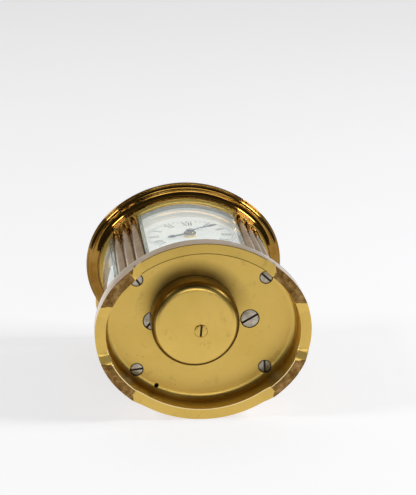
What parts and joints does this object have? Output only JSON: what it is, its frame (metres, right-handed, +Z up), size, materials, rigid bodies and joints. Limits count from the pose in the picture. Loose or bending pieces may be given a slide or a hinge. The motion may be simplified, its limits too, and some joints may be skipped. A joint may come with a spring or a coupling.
{
  "type": "lantern clock",
  "caption": "Small oval brass lantern clock with reeded corner pillars, curved glasses, a folding handle, a hinged rear door and an alarm bell under its footed base.",
  "frame": {"origin": "centre of the base, in the plane of the four feet that the clock stands on", "axes": "+Z up, the dial faces -Y, +X to the right of someone who faces the dial"},
  "size_m": [0.08, 0.068, 0.0994],
  "materials": {
    "satin_brass": "satin cast brass, lightly tarnished",
    "polished_brass": "polished and lacquered, reflecting its surroundings",
    "warm_brass": "polished with a pink tone and light tarnish",
    "movement_brass": "fine brushed, lacquered",
    "crystal": "clear, polished edges with a faint green tint",
    "screw_steel": "turned, slotted, lightly tarnished",
    "arbor_steel": "polished",
    "blued_steel": "heat-blued, grey-blue sheen",
    "spring_steel": "tempered, blue-grey",
    "dial_white": "white enamel"
  },
  "bodies": {
    "case": {"base": "satin_brass", "pillar_front_right": "warm_brass", "pillar_front_left": "warm_brass", "pillar_rear_right": "warm_brass", "pillar_rear_left": "warm_brass", "cornice": "polished_brass", "front_glass": "crystal", "right_glass": "crystal", "left_glass": "crystal", "top_glass": "crystal", "top_bezel": "polished_brass", "handle_posts": "polished_brass", "handle_pivots": "polished_brass", "pillar_screws": "screw_steel", "cornice_screws": "screw_steel", "movement_screws": "screw_steel", "bell": "satin_brass", "bell_stud": "screw_steel", "bell_screw": "polished_brass", "dial": "dial_white", "front_plate": "movement_brass", "back_plate": "movement_brass", "plate_posts": "movement_brass", "plate_screws": "screw_steel", "platform": "movement_brass", "balance_cock": "movement_brass", "hairspring": "spring_steel"},
    "handle": {"handle": "polished_brass"},
    "rear_door": {"rear_door_frame": "polished_brass", "rear_door_glass": "crystal", "rear_door_knob": "polished_brass"},
    "minute_train": {"minute_hand": "blued_steel", "cannon_pinion": "arbor_steel", "centre_arbor": "arbor_steel", "centre_wheel": "movement_brass", "setting_knob": "polished_brass"},
    "minute_wheel": {"minute_wheel": "movement_brass"},
    "hour_train": {"hour_wheel": "movement_brass", "hour_hand": "blued_steel"},
    "going_barrel": {"going_barrel": "movement_brass", "going_mainspring": "spring_steel"},
    "going_winding": {"going_winding_arbor": "arbor_steel", "going_key": "polished_brass"},
    "going_click": {"going_click": "arbor_steel"},
    "third_wheel": {"third_wheel": "movement_brass"},
    "contrate_wheel": {"contrate_wheel": "movement_brass"},
    "escape_wheel": {"escape_wheel": "arbor_steel"},
    "pallet_lever": {"pallet_lever": "arbor_steel"},
    "balance": {"balance_wheel": "movement_brass"},
    "regulator": {"regulator": "blued_steel"},
    "alarm_setting": {"alarm_arbor": "arbor_steel", "alarm_hand": "blued_steel", "alarm_knob": "polished_brass"},
    "alarm_barrel": {"alarm_barrel": "movement_brass", "alarm_mainspring": "spring_steel"},
    "alarm_winding": {"alarm_winding_arbor": "arbor_steel", "alarm_key": "polished_brass"},
    "alarm_click": {"alarm_click": "arbor_steel"},
    "alarm_hammer": {"alarm_hammer": "arbor_steel"}
  },
  "joints": [
    {"name": "handle_swing", "type": "hinge", "parent": "case", "child": "handle", "pos_m": [0, 0, 0.0968], "axis": [1, 0, 0], "range_deg": [0, 180]},
    {"name": "rear_door_swing", "type": "hinge", "parent": "case", "child": "rear_door", "pos_m": [0.01789, 0.02244, 0.0505], "axis": [0, 0, -1], "range_deg": [0, 100]},
    {"name": "third_wheel_turn", "type": "hinge", "parent": "case", "child": "third_wheel", "pos_m": [0.00697, -0.0015, 0.06731], "axis": [0, 1, 0], "continuous": true},
    {"name": "minute_hand_turn", "type": "hinge", "parent": "case", "child": "minute_train", "pos_m": [0, -0.0015, 0.059], "axis": [0, 1, 0], "continuous": true},
    {"name": "minute_wheel_turn", "type": "hinge", "parent": "case", "child": "minute_wheel", "pos_m": [0.00598, -0.0015, 0.05302], "axis": [0, 1, 0], "continuous": true},
    {"name": "hour_hand_turn", "type": "hinge", "parent": "case", "child": "hour_train", "pos_m": [0, -0.0015, 0.059], "axis": [0, 1, 0], "continuous": true},
    {"name": "going_barrel_turn", "type": "hinge", "parent": "case", "child": "going_barrel", "pos_m": [-0.0087, -0.0015, 0.04657], "axis": [0, 1, 0], "continuous": true},
    {"name": "contrate_wheel_turn", "type": "hinge", "parent": "case", "child": "contrate_wheel", "pos_m": [-0.00288, -0.0015, 0.07014], "axis": [0, 1, 0], "continuous": true},
    {"name": "escape_wheel_turn", "type": "hinge", "parent": "case", "child": "escape_wheel", "pos_m": [-0.00288, -0.0036, 0.0782], "axis": [0, 0, 1], "continuous": true},
    {"name": "pallet_lever_rock", "type": "hinge", "parent": "case", "child": "pallet_lever", "pos_m": [0.00176, -0.00144, 0.0792], "axis": [0, 0, 1], "range_deg": [-6, 6]},
    {"name": "balance_swing", "type": "hinge", "parent": "case", "child": "balance", "pos_m": [0.007, 0.001, 0.0812], "axis": [0, 0, 1], "range_deg": [-150, 150]},
    {"name": "regulator_turn", "type": "hinge", "parent": "case", "child": "regulator", "pos_m": [0.007, 0.001, 0.0852], "axis": [0, 0, 1], "range_deg": [-25, 25]},
    {"name": "going_winding_turn", "type": "hinge", "parent": "case", "child": "going_winding", "pos_m": [-0.0087, -0.0015, 0.04657], "axis": [0, 1, 0], "continuous": true},
    {"name": "going_click_lift", "type": "hinge", "parent": "case", "child": "going_click", "pos_m": [-0.00988, 0.0096, 0.05327], "axis": [0, -1, 0], "range_deg": [0, 12]},
    {"name": "alarm_setting_turn", "type": "hinge", "parent": "case", "child": "alarm_setting", "pos_m": [0, -0.0015, 0.034], "axis": [0, 1, 0], "continuous": true},
    {"name": "alarm_barrel_turn", "type": "hinge", "parent": "case", "child": "alarm_barrel", "pos_m": [0.011, -0.0015, 0.0315], "axis": [0, 1, 0], "continuous": true},
    {"name": "alarm_winding_turn", "type": "hinge", "parent": "case", "child": "alarm_winding", "pos_m": [0.011, -0.0015, 0.0315], "axis": [0, 1, 0], "continuous": true},
    {"name": "alarm_click_lift", "type": "hinge", "parent": "case", "child": "alarm_click", "pos_m": [0.01218, 0.0096, 0.0382], "axis": [0, 1, 0], "range_deg": [0, 12]},
    {"name": "alarm_hammer_strike", "type": "hinge", "parent": "case", "child": "alarm_hammer", "pos_m": [0.0086, -0.0015, 0.0185], "axis": [0, 1, 0], "range_deg": [-2, 12]}
  ],
  "couplings": [
    {"joint": "third_wheel_turn", "follows": "minute_hand_turn", "ratio": -8},
    {"joint": "minute_wheel_turn", "follows": "minute_hand_turn", "ratio": -0.33333},
    {"joint": "hour_hand_turn", "follows": "minute_hand_turn", "ratio": 0.083333},
    {"joint": "going_barrel_turn", "follows": "minute_hand_turn", "ratio": -0.16667},
    {"joint": "contrate_wheel_turn", "follows": "minute_hand_turn", "ratio": 60},
    {"joint": "escape_wheel_turn", "follows": "minute_hand_turn", "ratio": 360}
  ]
}
